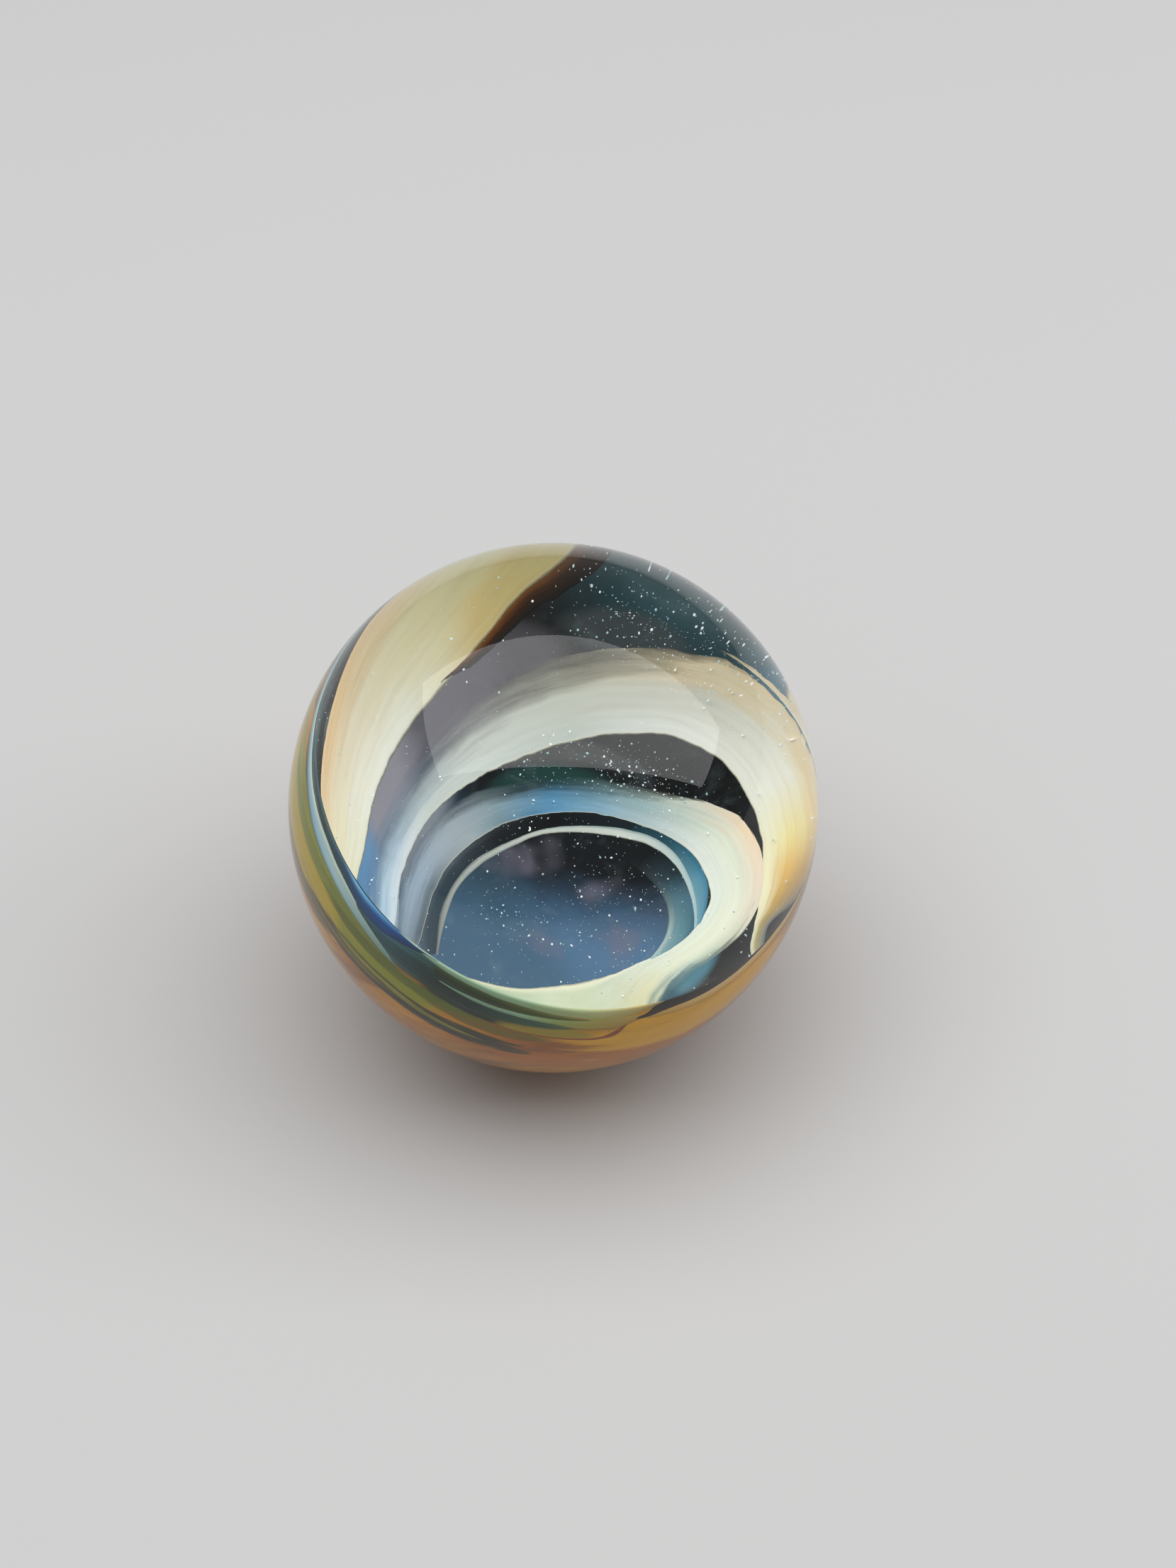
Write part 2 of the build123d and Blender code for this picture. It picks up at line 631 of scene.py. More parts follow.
def make_ribbon_tree(name, inner_edge, outer_edge, rows):
    tree = new_tree(name, [("Thickness", "Float"), ("Fray", "Float"), ("Seed", "Float"),
                           ("Finish", "Material")], [("Geometry", "Geometry")])
    inputs = tree.node("NodeGroupInput")
    front = ribbon_side(tree, inputs, inner_edge, outer_edge, rows, 1.0)
    back = ribbon_side(tree, inputs, inner_edge, outer_edge, rows, -1.0)
    front = tree.node("GeometryNodeFlipFaces", {}, {"Mesh": front})
    mesh = tree.node("GeometryNodeJoinGeometry", {}, {"Geometry": front})
    tree.nodes.links.new(back.socket, mesh.socket.node.inputs["Geometry"])
    mesh = tree.node("GeometryNodeMergeByDistance", {}, {"Geometry": mesh, "Distance": 1e-6})
    mesh = tree.node("GeometryNodeSetShadeSmooth", {}, {"Geometry": mesh})
    mesh = tree.node("GeometryNodeRealizeInstances", {}, {"Geometry": mesh})
    mesh = tree.node("GeometryNodeSetMaterial", {},
                     {"Geometry": mesh, "Material": inputs.other("Finish")})
    tree.node("NodeGroupOutput", {}, {"Geometry": mesh})
    return tree


print("ribbon tree ready")

# %% [markdown]
# A ribbon's colour changes along it and across it. Three colour ramps run along it, for the
# inner edge, the middle and the outer edge, and the finish blends from one to the next across
# the strip. Fine streaks run along it, and its outer edge can thin out to nothing, as fumed
# glass does where it was pulled thin.


# %% Ribbon finish
def make_ribbon_finish(name, start, end, ramps, sheer, streak, edge_light):
    """ramps holds three lists of (turn, colour). sheer is a list of (turn, share that fades)."""
    def share_of(stations):
        return [((turn - start) / (end - start), value) for turn, value in stations]

    material, tree = new_finish(name)
    along, over, _ = parts_of(tree, attribute(tree, "strip"))
    length = (end - start) / 40
    drawn = noise(tree, tree.vector(along * length, over * 5.0, start), 1.0, 4.0, 0.6, 0.4)
    fine = noise(tree, tree.vector(along * length * 1.5, over * 15.0, end), 1.0, 3.0, 0.5, 0.3)
    place = over + (drawn - 0.5) * 0.55 + (fine - 0.5) * 0.06

    inner, middle, outer = [
        tree.node("ShaderNodeValToRGB", {"stops": share_of(stops)}, {0: along}) for stops in ramps]
    colour = tree.blend(place.fade(0.05, 0.5), inner, middle)
    colour = tree.blend(place.fade(0.5, 0.95), colour, outer)
    shade = tree.blend(fine.fade(0.35, 0.75), rgba("#ffffff"), rgba("#b9b4a4"))
    colour = tree.node("ShaderNodeMix", {"data_type": "RGBA", "blend_type": "MULTIPLY"},
                       {0: streak, 6: colour, 7: shade}, output=2)
    colour = tree.blend(over.fade(0.05, 0.01) * edge_light, colour, rgba("#fff6dc"))

    thin = tree.node("ShaderNodeFloatCurve", {"points": share_of(sheer)}, {"Value": along})
    gone = (place - (1.0 - thin)) / thin.at_least(0.001)
    cover = 1.0 - gone.at_least(0.0).at_most(1.0) * (thin > 0.01)
    close(tree, tree.node("ShaderNodeBsdfPrincipled", {}, {
        "Base Color": colour, "Roughness": 0.5, "Specular IOR Level": 0.0, "Alpha": cover}))
    return material


def make_ribbon(name, inner_edge, outer_edge, inner, middle, outer, sheer=None, thickness=0.004,
                fray=0.006, seed=1.0, streak=0.15, edge_light=0.0, rows=15):
    """Edges are lists of (turn, reach) and inner, middle and outer are lists of (turn, colour)."""
    start, end = inner_edge[0][0], inner_edge[-1][0]
    finish = make_ribbon_finish(name, start, end, (inner, middle, outer),
                                sheer or [(start, 0.0), (end, 0.0)], streak, edge_light)
    settle(name, make_ribbon_tree(name, inner_edge, outer_edge, rows),
           {"Thickness": thickness, "Fray": fray, "Seed": seed, "Finish": finish})


print("ribbon maker ready")

# %% [markdown]
# The rim ribbon is the broadest stretch of pale glass, high on the far left wall: cream and tan,
# white at its lower inner side, and peach with fume at its outer side. A patch in the smoked
# finish would be quicker, but its edge is crisp and stands proud of the dark glass, so it is
# a ribbon whose two edges open wide and close again.

# %% Rim ribbon
make_ribbon(
    "rim_ribbon",
    inner_edge=[(50, 0.95), (65, 0.875), (75, 0.81), (90, 0.715), (100, 0.665), (110, 0.605),
                (120, 0.567), (135, 0.537), (150, 0.521), (165, 0.519), (180, 0.538),
                (190, 0.583), (200, 0.66), (215, 0.79), (235, 0.97)],
    outer_edge=[(50, 1.0), (75, 0.97), (90, 0.945), (100, 0.92), (120, 0.82), (135, 0.785),
                (150, 0.738), (165, 0.72), (180, 0.735), (190, 0.78), (200, 0.85), (215, 0.94),
                (235, 1.0)],
    inner=[(50, "#e0d49a"), (75, "#e6d9a0"), (100, "#dccb88"), (110, "#e8d090"), (120, "#f2ebc6"),
           (135, "#f9fbec"), (150, "#fdfff2"), (165, "#fdfff2"), (188, "#f2f1d6"),
           (235, "#e0e0c6")],
    middle=[(50, "#d2c892"), (100, "#e0d9a0"), (120, "#ece4b6"), (150, "#fbf3da"),
            (190, "#f9f0cc"), (235, "#e6dcb4")],
    outer=[(50, "#cfc890"), (90, "#e0d9a0"), (110, "#e2d298"), (130, "#ecca8e"), (155, "#f9d8a4"),
           (190, "#fbe2b8"), (235, "#f0d8ae")],
    fray=0.012, seed=3.0, edge_light=0.4, rows=31)

# %% [markdown]
# Along its upper inner side the rim ribbon is so thin that the dark glass behind it glows brown.
# The ribbon's own ramp could darken there, but the glow ends far more raggedly than the
# ribbon does, so it is a thin strip of its own, with more fray.

# %% Brown glow
make_ribbon(
    "brown_glow",
    inner_edge=[(50, 0.92), (65, 0.835), (75, 0.77), (90, 0.675), (100, 0.632), (110, 0.585),
                (124, 0.566)],
    outer_edge=[(50, 0.945), (65, 0.878), (75, 0.813), (90, 0.718), (100, 0.668), (110, 0.608),
                (124, 0.568)],
    inner=[(50, "#110e0b"), (90, "#150f0a"), (124, "#3a342f")],
    middle=[(50, "#1c130c"), (90, "#2c1909"), (104, "#3a210c"), (124, "#3a2c20")],
    outer=[(50, "#3f3018"), (90, "#5c3a16"), (104, "#7a4a1c"), (124, "#6a5438")],
    thickness=0.002, fray=0.020, seed=5.0)

# %% [markdown]
# The broad ribbon is the long pale arm of the spiral. It starts under the near right rim, swells
# on the right, where fume turns it gold, and runs over the top, where it was pulled so thin
# that its outer side is sheer. Then it turns blue as it comes down the left wall. The sheer
# share differs along it, so the finish takes it from a curve.

# %% Broad ribbon
make_ribbon(
    "broad_ribbon",
    inner_edge=[(-60, 0.97), (-40, 0.68), (-20, 0.50), (-5, 0.435), (10, 0.45), (30, 0.492),
                (45, 0.508), (60, 0.492), (75, 0.45), (90, 0.412), (110, 0.38), (130, 0.374),
                (150, 0.385), (170, 0.405), (185, 0.435), (200, 0.475), (212, 0.56), (222, 0.80),
                (228, 1.0)],
    outer_edge=[(-60, 1.0), (-40, 0.75), (-20, 0.54), (-5, 0.47), (5, 0.53), (15, 0.585),
                (25, 0.615), (35, 0.635), (45, 0.65), (55, 0.65), (65, 0.632), (80, 0.598),
                (95, 0.565), (115, 0.525), (135, 0.49), (155, 0.482), (170, 0.50), (185, 0.54),
                (200, 0.62), (212, 0.80), (220, 0.97), (228, 1.01)],
    inner=[(-60, "#9aa39a"), (-20, "#c9d0bd"), (-5, "#ecebca"), (10, "#fbf8cf"), (20, "#fefbd4"),
           (35, "#fdfff0"), (45, "#fdfef4"), (60, "#f1f5ed"), (90, "#c7d1c9"), (130, "#d5ded9"),
           (150, "#d5ded9"), (170, "#dfe9ef"), (200, "#d3e3ec"), (228, "#cfe2ea")],
    middle=[(-60, "#b3a87f"), (-5, "#a89a66"), (5, "#c9a250"), (14, "#f0c468"), (22, "#fff0a8"),
            (34, "#fffff0"), (60, "#dfe0d3"), (90, "#ccd1c4"), (130, "#cdd6d2"), (170, "#b3cbdc"),
            (228, "#9cc3dc")],
    outer=[(-60, "#616c76"), (0, "#6f7678"), (12, "#b08c50"), (24, "#f6d998"), (45, "#f6e2b8"),
           (65, "#e6d6b4"), (90, "#bdbba2"), (130, "#a5a7b0"), (170, "#7fa3c4"),
           (228, "#6a9cc4")],
    sheer=[(-60, 0.0), (50, 0.05), (70, 0.2), (100, 0.5), (150, 0.7), (180, 0.6), (228, 0.5)],
    fray=0.015, seed=7.0, edge_light=0.55, rows=41)

# %% [markdown]
# The pale ribbon is the inner arm. It laps over the near rim, wraps round the disc, turns blue at
# the top, and climbs the left wall in grey. It is the longest, so its edges have the most
# stations. It could run on over the rim, but its rows are too coarse to follow that small
# curve, so it stops just short of it, and a finer piece comes later: the lip.

# %% Pale ribbon
make_ribbon(
    "pale_ribbon",
    inner_edge=[(-150, 0.72), (-142, 0.47), (-130, 0.37), (-115, 0.30), (-100, 0.245),
                (-85, 0.218), (-60, 0.203), (-35, 0.216), (-15, 0.262), (0, 0.31), (15, 0.342),
                (30, 0.337), (45, 0.31), (60, 0.283), (80, 0.262), (105, 0.251), (130, 0.26),
                (150, 0.278), (170, 0.312), (185, 0.345), (200, 0.395), (210, 0.46), (222, 0.70),
                (232, 1.0)],
    outer_edge=[(-150, 0.97), (-130, 0.975), (-86, 0.975), (-80, 0.955), (-75, 0.89), (-70, 0.78),
                (-65, 0.655), (-60, 0.535), (-52, 0.415), (-45, 0.365), (-30, 0.338), (-15, 0.37),
                (0, 0.43), (15, 0.468), (28, 0.475), (40, 0.44), (55, 0.39), (70, 0.36),
                (90, 0.34), (110, 0.335), (125, 0.35), (140, 0.365), (155, 0.383), (170, 0.408),
                (185, 0.44), (200, 0.50), (214, 0.62), (224, 0.86), (232, 1.0)],
    inner=[(-150, "#8ea795"), (-115, "#bcccaa"), (-100, "#cdd8bd"), (-85, "#c9d3b4"),
           (-60, "#cfd9c4"), (-30, "#dde5d5"), (0, "#e6eee0"), (30, "#ebf3ec"), (55, "#b9cdd2"),
           (75, "#8fb8d0"), (95, "#6aa2c6"), (110, "#5a8fb2"), (130, "#7c97a3"), (148, "#a4b2b8"),
           (165, "#98a5ad"), (182, "#6c7b84"), (205, "#5b6c78"), (232, "#8c98a4")],
    middle=[(-150, "#5f7d6c"), (-115, "#9fb894"), (-100, "#b9cdb0"), (-85, "#cdd3ae"),
            (-60, "#d3cfa2"), (-30, "#e4e9d0"), (0, "#eef2dc"), (30, "#eaf0dd"), (55, "#a9c3c4"),
            (80, "#6f98ac"), (100, "#5a93b8"), (130, "#8fa3ac"), (150, "#a4b0b8"),
            (180, "#9fb2c4"), (232, "#6f7f8c")],
    outer=[(-150, "#3f5a50"), (-115, "#5f7f6d"), (-100, "#8ea795"), (-82, "#b0a870"),
           (-73, "#77704c"), (-64, "#4a5248"), (-56, "#55686a"), (-45, "#5f8a90"),
           (-28, "#7fa5a6"), (-12, "#cdd8c2"), (10, "#f2e4cf"), (28, "#fde5c4"), (45, "#d8dccc"),
           (70, "#86a6a4"), (95, "#3f6f78"), (130, "#7c8f93"), (150, "#8f9aa5"), (205, "#7590a5"),
           (232, "#4c6577")],
    sheer=[(-150, 0.0), (-80, 0.0), (-64, 0.30), (-40, 0.30), (-15, 0.12), (10, 0.02), (35, 0.02),
           (60, 0.45), (100, 0.6), (140, 0.4), (180, 0.3), (232, 0.4)],
    fray=0.010, seed=11.0, edge_light=0.45, rows=61)

# %% [markdown]
# A thin white thread rings the disc, where the edge of a ribbon was drawn out. It could be a
# curve with a round bevel, but it lies flat in the glass like the others, so it is a ribbon
# with its edges at the same distance from one line. Between it and the pale ribbon lies a
# strip of smoke, and on the right two strips of blue glass lie beside it, one on each side.

# %% Thread
# turn, reach, half of its width
thread_line = [(-5, 0.302, 0.002), (15, 0.30, 0.004), (30, 0.297, 0.006), (45, 0.281, 0.008),
               (60, 0.250, 0.008), (80, 0.222, 0.006), (100, 0.211, 0.0045), (120, 0.210, 0.004),
               (140, 0.220, 0.005), (160, 0.250, 0.006), (180, 0.292, 0.005), (195, 0.332, 0.006),
               (206, 0.372, 0.004), (215, 0.42, 0.002)]
fullness = 1.6  # widens the thread along its whole length
make_ribbon(
    "white_thread",
    inner_edge=[(turn, reach - half * fullness) for turn, reach, half in thread_line],
    outer_edge=[(turn, reach + half * fullness) for turn, reach, half in thread_line],
    inner=[(-5, "#a5c5cd"), (60, "#e0e6dc"), (115, "#c9cfc8"), (145, "#a9b0ac"), (180, "#a3aba8"),
           (215, "#8a8f8d")],
    middle=[(-5, "#a5c5cd"), (60, "#cdd6ce"), (120, "#c3cac2"), (180, "#a5aca8"),
            (215, "#7f8583")],
    outer=[(-5, "#a5c5cd"), (60, "#8fa5a3"), (120, "#89948f"), (180, "#696f6d"),
           (215, "#696f6d")],
    thickness=0.003, fray=0.004, seed=17.0)

# %% Smoke beside the thread
make_ribbon(
    "smoke_gap",
    inner_edge=[(40, 0.290), (60, 0.250), (80, 0.222), (100, 0.211), (120, 0.210), (140, 0.220),
                (160, 0.250), (180, 0.292), (195, 0.332), (206, 0.372), (214, 0.42)],
    outer_edge=[(40, 0.305), (60, 0.290), (80, 0.272), (105, 0.261), (130, 0.270), (150, 0.288),
                (170, 0.322), (185, 0.355), (200, 0.405), (208, 0.44), (214, 0.46)],
    inner=[(40, "#1c2a30"), (100, "#111416"), (140, "#1b2023"), (165, "#2b353c"),
           (185, "#2f404a"), (214, "#34424c")],
    middle=[(40, "#1c2a30"), (100, "#0d1012"), (140, "#1f2427"), (165, "#36414a"),
            (185, "#31424c"), (214, "#3a4a56")],
    outer=[(40, "#1c2a30"), (100, "#111416"), (140, "#363c40"), (165, "#5b656c"),
           (185, "#47565f"), (214, "#4a5a66")],
    thickness=0.001, fray=0.0, seed=15.0)

# %% Blue glass beside the thread
make_ribbon(
    "blue_crescent",
    inner_edge=[(-40, 0.22), (-20, 0.23), (0, 0.236), (15, 0.23), (30, 0.213), (42, 0.20)],
    outer_edge=[(-40, 0.224), (-20, 0.262), (-5, 0.30), (10, 0.30), (25, 0.297), (42, 0.285)],
    inner=[(-40, "#c3d2cb"), (-8, "#9db4b2"), (12, "#5b757c"), (26, "#36444a"), (42, "#16191b")],
    middle=[(-40, "#9fbfc2"), (-8, "#5f8c98"), (12, "#4b7484"), (26, "#2c3e46"), (42, "#14181a")],
    outer=[(-40, "#7fa9b0"), (-8, "#3f6c80"), (12, "#3f6a7a"), (26, "#22323a"), (42, "#101314")],
    thickness=0.002, fray=0.004, seed=19.0)
make_ribbon(
    "blue_channel",
    inner_edge=[(-2, 0.303), (10, 0.303), (20, 0.301), (35, 0.293), (50, 0.276), (58, 0.262)],
    outer_edge=[(-2, 0.313), (10, 0.332), (20, 0.342), (35, 0.331), (50, 0.301), (58, 0.284)],
    inner=[(-2, "#7fa9b6"), (20, "#6a9aab"), (40, "#2f5562"), (58, "#1c343c")],
    middle=[(-2, "#6a9fb2"), (20, "#5b93aa"), (40, "#2a5260"), (58, "#18303a")],
    outer=[(-2, "#3f84a2"), (20, "#3f84a2"), (40, "#24505f"), (58, "#152a32")],
    thickness=0.002, fray=0.003, seed=23.0)

# %% [markdown]
# The lip carries the pale ribbon over the near rim, where it turns green as it thins out on the
# back. It is a short strip of 61 rows, so that it bends round the rim without cutting
# through the glass under it.

# %% Lip of the pale ribbon
make_ribbon(
    "pale_lip",
    inner_edge=[(-131, 1.001), (-124, 0.99), (-118, 0.955), (-74, 0.955), (-68, 0.975)],
    outer_edge=[(-131, 1.006), (-124, 1.014), (-118, 1.020), (-110, 1.023), (-100, 1.026),
                (-90, 1.033), (-82, 1.035), (-74, 1.026), (-68, 1.004)],
    inner=[(-131, "#8fae98"), (-118, "#b5cfb4"), (-100, "#bfd4b8"), (-85, "#c9d3a6"),
           (-74, "#c2b484"), (-68, "#8a8474")],
    middle=[(-131, "#8fae98"), (-118, "#a3c0a4"), (-100, "#b2ccae"), (-85, "#c0c894"),
            (-74, "#b8a468"), (-68, "#6f6858")],
    outer=[(-131, "#6f8f78"), (-118, "#7f9f84"), (-100, "#86a67c"), (-85, "#a3a868"),
           (-74, "#a8904a"), (-68, "#4f4838")],
    thickness=0.003, fray=0.004, seed=13.0, rows=61)

# %% [markdown]
# On the near left side, the last layers of the back come up over the rim in thin bands: teal,
# navy, pale blue, olive and green, with a dark lap of smoked glass and a small red hook at
# the right. Soft zones would blur into one another, and these lie over each other with
# clear edges, so each is a short ribbon across or along the rim.

# %% Bands over the rim, on the left
make_ribbon(
    "rim_band_teal",
    inner_edge=[(-146, 1.045), (-138, 1.046), (-130, 1.028), (-124, 1.018), (-118, 1.020),
                (-110, 1.044), (-100, 1.044), (-90, 1.055), (-84, 1.060)],
    outer_edge=[(-146, 1.050), (-138, 1.072), (-130, 1.095), (-124, 1.104), (-118, 1.102),
                (-110, 1.098), (-100, 1.092), (-90, 1.078), (-84, 1.064)],
    inner=[(-146, "#2c4a52"), (-132, "#3d6a74"), (-120, "#2a4f48"), (-110, "#1f3f3a"),
           (-84, "#6a7a3c")],
    middle=[(-146, "#2c4a52"), (-132, "#2b4d54"), (-120, "#182c28"), (-110, "#142a24"),
            (-95, "#27503e"), (-84, "#6a7a3c")],
    outer=[(-146, "#3f6066"), (-132, "#4f7478"), (-120, "#2f4a2c"), (-110, "#2a4a3a"),
           (-95, "#4a6a34"), (-84, "#7a7a2c")],
    sheer=[(-146, 0.2), (-110, 0.3), (-84, 0.5)],
    thickness=0.002, fray=0.010, seed=37.0, streak=0.7)
make_ribbon(
    "rim_band_navy",
    inner_edge=[(-175, 1.010), (-160, 1.013), (-150, 1.002), (-145, 1.004), (-140, 1.006),
                (-135, 1.004), (-130, 1.001), (-125, 0.999), (-119, 0.998)],
    outer_edge=[(-175, 1.014), (-160, 1.026), (-150, 1.027), (-145, 1.037), (-140, 1.047),
                (-135, 1.047), (-130, 1.032), (-125, 1.016), (-119, 1.003)],
    # the pale blue on its inner edge, from turn -150 to -128, is a painted highlight
    inner=[(-175, "#2a3a3c"), (-160, "#1f3834"), (-150, "#3a6a8a"), (-145, "#6fb0dc"),
           (-136, "#4f94cc"), (-128, "#2c5a90"), (-119, "#1a2c38")],
    middle=[(-175, "#2a3a3c"), (-160, "#1f3834"), (-150, "#234454"), (-143, "#184878"),
            (-135, "#184a8c"), (-128, "#173f78"), (-119, "#1a2c38")],
    outer=[(-175, "#4a6264"), (-160, "#1f3834"), (-150, "#2d4a5a"), (-143, "#1c4468"),
           (-135, "#1d4470"), (-128, "#1d3a5c"), (-119, "#1a2c38")],
    thickness=0.003, fray=0.006, seed=41.0, streak=0.3)
make_ribbon(
    "rim_band_blue",
    inner_edge=[(-215, 1.000), (-200, 1.010), (-190, 1.018), (-180, 1.022), (-170, 1.028),
                (-160, 1.028), (-150, 1.034), (-140, 1.050), (-134, 1.066), (-128, 1.088)],
    outer_edge=[(-215, 1.012), (-200, 1.030), (-190, 1.038), (-180, 1.044), (-170, 1.057),
                (-160, 1.070), (-150, 1.076), (-140, 1.084), (-134, 1.092), (-128, 1.096)],
    inner=[(-215, "#7fa3a8"), (-185, "#c9dcd4"), (-165, "#d3e4d8"), (-150, "#c2d8cc"),
           (-128, "#7f9f8c")],
    middle=[(-215, "#6f969c"), (-185, "#8fb5c0"), (-165, "#93bdd2"), (-150, "#a9ccd4"),
            (-128, "#6f9480")],
    outer=[(-215, "#5b8288"), (-185, "#6f9a8c"), (-165, "#5f94ac"), (-150, "#6f9f9c"),
           (-128, "#5f8460")],
    sheer=[(-215, 0.2), (-128, 0.35)],
    thickness=0.003, fray=0.005, seed=29.0, streak=0.4)

# %% Bands over the rim, in the middle
make_ribbon(
    "olive_streak",
    inner_edge=[(-121, 1.018), (-110, 1.023), (-100, 1.027), (-90, 1.034), (-84, 1.038)],
    outer_edge=[(-121, 1.044), (-110, 1.047), (-100, 1.046), (-90, 1.045), (-84, 1.041)],
    inner=[(-121, "#3a4f2a"), (-105, "#46581c"), (-84, "#7f7f30")],
    middle=[(-121, "#1f2c18"), (-105, "#27340c"), (-84, "#55601c")],
    outer=[(-121, "#27381c"), (-105, "#34440f"), (-84, "#6a6c24")],
    thickness=0.002, fray=0.004, seed=43.0, streak=0.3)
make_ribbon(
    "rim_band_green",
    inner_edge=[(-119, 1.049), (-110, 1.049), (-100, 1.047), (-92, 1.044), (-86, 1.036),
                (-80, 1.030), (-74, 1.034)],
    outer_edge=[(-119, 1.052), (-110, 1.060), (-100, 1.061), (-92, 1.064), (-86, 1.078),
                (-80, 1.082), (-74, 1.050)],
    inner=[(-119, "#7f9f80"), (-100, "#8fb090"), (-92, "#8a9f5c"), (-84, "#a0984c"),
           (-74, "#b0924a")],
    middle=[(-119, "#6f8f70"), (-100, "#86a987"), (-92, "#8a9a52"), (-84, "#9c8f3c"),
            (-74, "#a8843a")],
    outer=[(-119, "#3f6050"), (-100, "#5a8468"), (-92, "#6a8040"), (-84, "#a07c20"),
           (-74, "#b07c1c")],
    sheer=[(-119, 0.1), (-92, 0.3), (-74, 0.5)],
    thickness=0.003, fray=0.004, seed=31.0, streak=0.3)

# %% Bands over the rim, on the right
make_ribbon(
    "pale_edge",
    inner_edge=[(-72, 1.046), (-66, 1.036), (-60, 1.032), (-50, 1.022), (-42, 1.012),
                (-30, 1.000), (-16, 0.998)],
    outer_edge=[(-72, 1.052), (-66, 1.058), (-60, 1.060), (-50, 1.055), (-42, 1.048),
                (-30, 1.036), (-16, 1.020)],
    inner=[(-72, "#a8843a"), (-60, "#c7a878"), (-45, "#c9ab7a"), (-16, "#a39070")],
    middle=[(-72, "#b8862c"), (-60, "#cfa24a"), (-45, "#cfa24a"), (-16, "#a3885a")],
    outer=[(-72, "#c08a1c"), (-60, "#d59a1c"), (-45, "#d59a1c"), (-16, "#a3803a")],
    sheer=[(-72, 0.5), (-16, 0.5)],
    thickness=0.002, fray=0.003, seed=47.0)
make_ribbon(
    "dark_lap",
    inner_edge=[(-79, 1.044), (-73, 1.034), (-68, 0.98), (-60, 0.98), (-50, 0.98), (-42, 0.985),
                (-36, 0.995)],
    outer_edge=[(-79, 1.048), (-73, 1.047), (-68, 1.036), (-60, 1.032), (-50, 1.022),
                (-42, 1.012), (-36, 1.001)],
    inner=[(-79, "#3a2a10"), (-68, "#15120e"), (-50, "#15120e"), (-36, "#1c1a18")],
    middle=[(-79, "#3a2a10"), (-68, "#15120e"), (-50, "#1b130c"), (-36, "#1c1a18")],
    outer=[(-79, "#4a3010"), (-68, "#1f150c"), (-50, "#2a1a0c"), (-36, "#2c241c")],
    thickness=0.002, fray=0.004, seed=53.0)
make_ribbon(
    "red_hook",
    inner_edge=[(-108, 1.104), (-95, 1.104), (-86, 1.103), (-81, 1.095), (-78, 1.070),
                (-76.5, 1.050)],
    outer_edge=[(-108, 1.108), (-95, 1.110), (-86, 1.110), (-81, 1.106), (-78, 1.095),
                (-76.5, 1.062)],
    inner=[(-108, "#8a5a14"), (-90, "#8f4a0c"), (-76.5, "#8a3a0c")],
    middle=[(-108, "#8a5a14"), (-90, "#8a3f0a"), (-76.5, "#84340a")],
    outer=[(-108, "#9a6414"), (-90, "#a05a10"), (-76.5, "#94480e")],
    sheer=[(-108, 0.5), (-76.5, 0.4)],
    thickness=0.0015, fray=0.003, seed=59.0)
print("ribbons and bands done")

# %% [markdown]
# ## Silver dust
# Flakes of silver hang in the smoked glass like stars. They lie at different depths, so they are
# small bodies of their own, and not dots in a finish. Points are strewn on a flat disc, whose
# plan is turn and reach, and the place group carries them into the bowl. The seed is fixed.


# %% Dust tree
def make_dust_tree():
    tree = new_tree("silver_dust", [("Density", "Float"), ("Smallest", "Float"),
                                    ("Largest", "Float"), ("Depth", "Float"), ("Seed", "Int"),
                                    ("Finish", "Material")], [("Geometry", "Geometry")])
    density = tree.node("NodeGroupInput")
    seed = density.other("Seed")
    plan = tree.node("GeometryNodeMeshGrid", {}, {"Size X": 1.9, "Size Y": 1.9,
                                                  "Vertices X": 96, "Vertices Y": 96})
    x, y, _ = parts_of(tree, tree.node("GeometryNodeInputPosition"))
    reach = (x * x + y * y) ** 0.5
    place = (x, y, reach)
    thick = zone(tree, place, 58, 0.75, 42, 0.22) * 5.0
    middle = reach.fade(0.34, 0.2) * 0.9
    gap = zone(tree, place, 70, 0.37, 60, 0.10) * 4.0
    inside = 1.0 - (reach > 0.93)
    clump = noise(tree, tree.vector(x, y, 3.0), 7.0, 2.0).fade(0.35, 0.7) * 1.6 + 0.25
    wanted = (thick + middle * 1.3 + gap + 0.3) * inside * clump * density
    points = tree.node("GeometryNodeDistributePointsOnFaces", {"distribute_method": "RANDOM"},
                       {"Mesh": plan, "Density": wanted, "Seed": seed})

    deep = tree.node("FunctionNodeRandomValue", {"data_type": "FLOAT"},
                     {2: 0.0, 3: 1.0, "Seed": seed}, output=1)
    size = tree.node("FunctionNodeRandomValue", {"data_type": "FLOAT"},
                     {2: 0.0, 3: 1.0, "Seed": 7}, output=1)
    tumble = tree.node("FunctionNodeRandomValue", {"data_type": "FLOAT_VECTOR"},
                       {0: (0.0, 0.0, 0.0), 1: (6.3, 6.3, 6.3), "Seed": 11})
    lift = deep * deep * density.other("Depth") + 0.006
    spot = tree.node("GeometryNodeGroup", {"node_tree": place_group},
                     {"Turn": tree.math("ARCTAN2", y, x), "Reach": reach, "Lift": lift})
    points = tree.node("GeometryNodeSetPosition", {}, {"Geometry": points, "Position": spot})
    flake = tree.node("GeometryNodeMeshIcoSphere", {}, {"Radius": 1.0, "Subdivisions": 1})
    radius = tree.mix(size ** 6.0, density.other("Smallest"), density.other("Largest"))
    mesh = tree.node("GeometryNodeInstanceOnPoints", {}, {
        "Points": points, "Instance": flake, "Rotation": tumble,
        "Scale": tree.vector(radius, radius * 0.8, radius * 0.6)})
    mesh = tree.node("GeometryNodeRealizeInstances", {}, {"Geometry": mesh})
    mesh = tree.node("GeometryNodeSetMaterial", {},
                     {"Geometry": mesh, "Material": density.other("Finish")})
    tree.node("NodeGroupOutput", {}, {"Geometry": mesh})
    return tree


